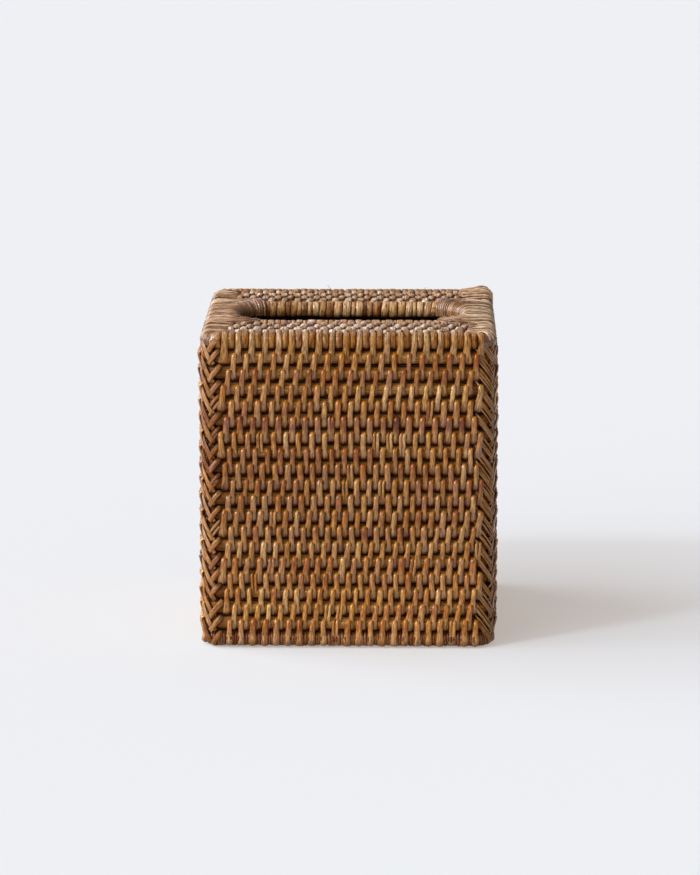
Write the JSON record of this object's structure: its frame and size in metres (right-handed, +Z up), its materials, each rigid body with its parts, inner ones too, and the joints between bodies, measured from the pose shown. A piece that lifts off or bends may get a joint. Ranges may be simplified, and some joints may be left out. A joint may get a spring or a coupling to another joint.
{
  "type": "tissue box cover",
  "caption": "Woven rattan cube cover that slips over an upright box of tissues, with an open foot and a bound rounded slot in the top.",
  "frame": {"origin": "middle of the open foot, on the surface that the cover stands on", "axes": "+Z up, -Y to the front, +X along the slot to the right"},
  "size_m": [0.14, 0.14, 0.152],
  "materials": {
    "rattan_core": "brown stained core rods with fine grain along them, dull",
    "cane_stitching": "split cane in mixed honey, tan and red-brown, satin to glossy on its outer skin",
    "cane_lacing": "split cane plaited in a herringbone, satin",
    "cane_binding": "darker split cane in close turns, satin"
  },
  "bodies": {
    "root": {"foot_binding": "cane_binding", "slot_binding": "cane_binding", "left_edge_binding": "cane_binding", "right_edge_binding": "cane_binding", "front_left_lacing": "cane_lacing", "front_right_lacing": "cane_lacing", "back_left_lacing": "cane_lacing", "back_right_lacing": "cane_lacing", "slot_hoop": "rattan_core", "front_panel_strand": "cane_stitching", "back_panel_strand": "cane_stitching", "front_panel_rod_1": "rattan_core", "front_panel_rod_2": "rattan_core", "front_panel_rod_3": "rattan_core", "front_panel_rod_4": "rattan_core", "back_panel_rod_1": "rattan_core", "back_panel_rod_2": "rattan_core", "back_panel_rod_3": "rattan_core", "back_panel_rod_4": "rattan_core", "wall_rod_01": "rattan_core", "wall_rod_02": "rattan_core", "wall_rod_03": "rattan_core", "wall_rod_04": "rattan_core", "wall_rod_05": "rattan_core", "wall_rod_06": "rattan_core", "wall_rod_07": "rattan_core", "wall_rod_08": "rattan_core", "wall_rod_09": "rattan_core", "wall_rod_10": "rattan_core", "wall_rod_11": "rattan_core", "wall_rod_12": "rattan_core", "wall_rod_13": "rattan_core", "wall_rod_14": "rattan_core", "wall_rod_15": "rattan_core", "wall_rod_16": "rattan_core", "wall_rod_17": "rattan_core", "wall_rod_18": "rattan_core", "wall_rod_19": "rattan_core", "wall_rod_20": "rattan_core", "course_strand_01": "cane_stitching", "course_strand_02": "cane_stitching", "course_strand_03": "cane_stitching", "course_strand_04": "cane_stitching", "course_strand_05": "cane_stitching", "course_strand_06": "cane_stitching", "course_strand_07": "cane_stitching", "course_strand_08": "cane_stitching", "course_strand_09": "cane_stitching", "course_strand_10": "cane_stitching", "course_strand_11": "cane_stitching", "course_strand_12": "cane_stitching", "course_strand_13": "cane_stitching", "course_strand_14": "cane_stitching", "course_strand_15": "cane_stitching", "course_strand_16": "cane_stitching", "course_strand_17": "cane_stitching", "course_strand_18": "cane_stitching", "course_strand_19": "cane_stitching"}
  },
  "joints": []
}
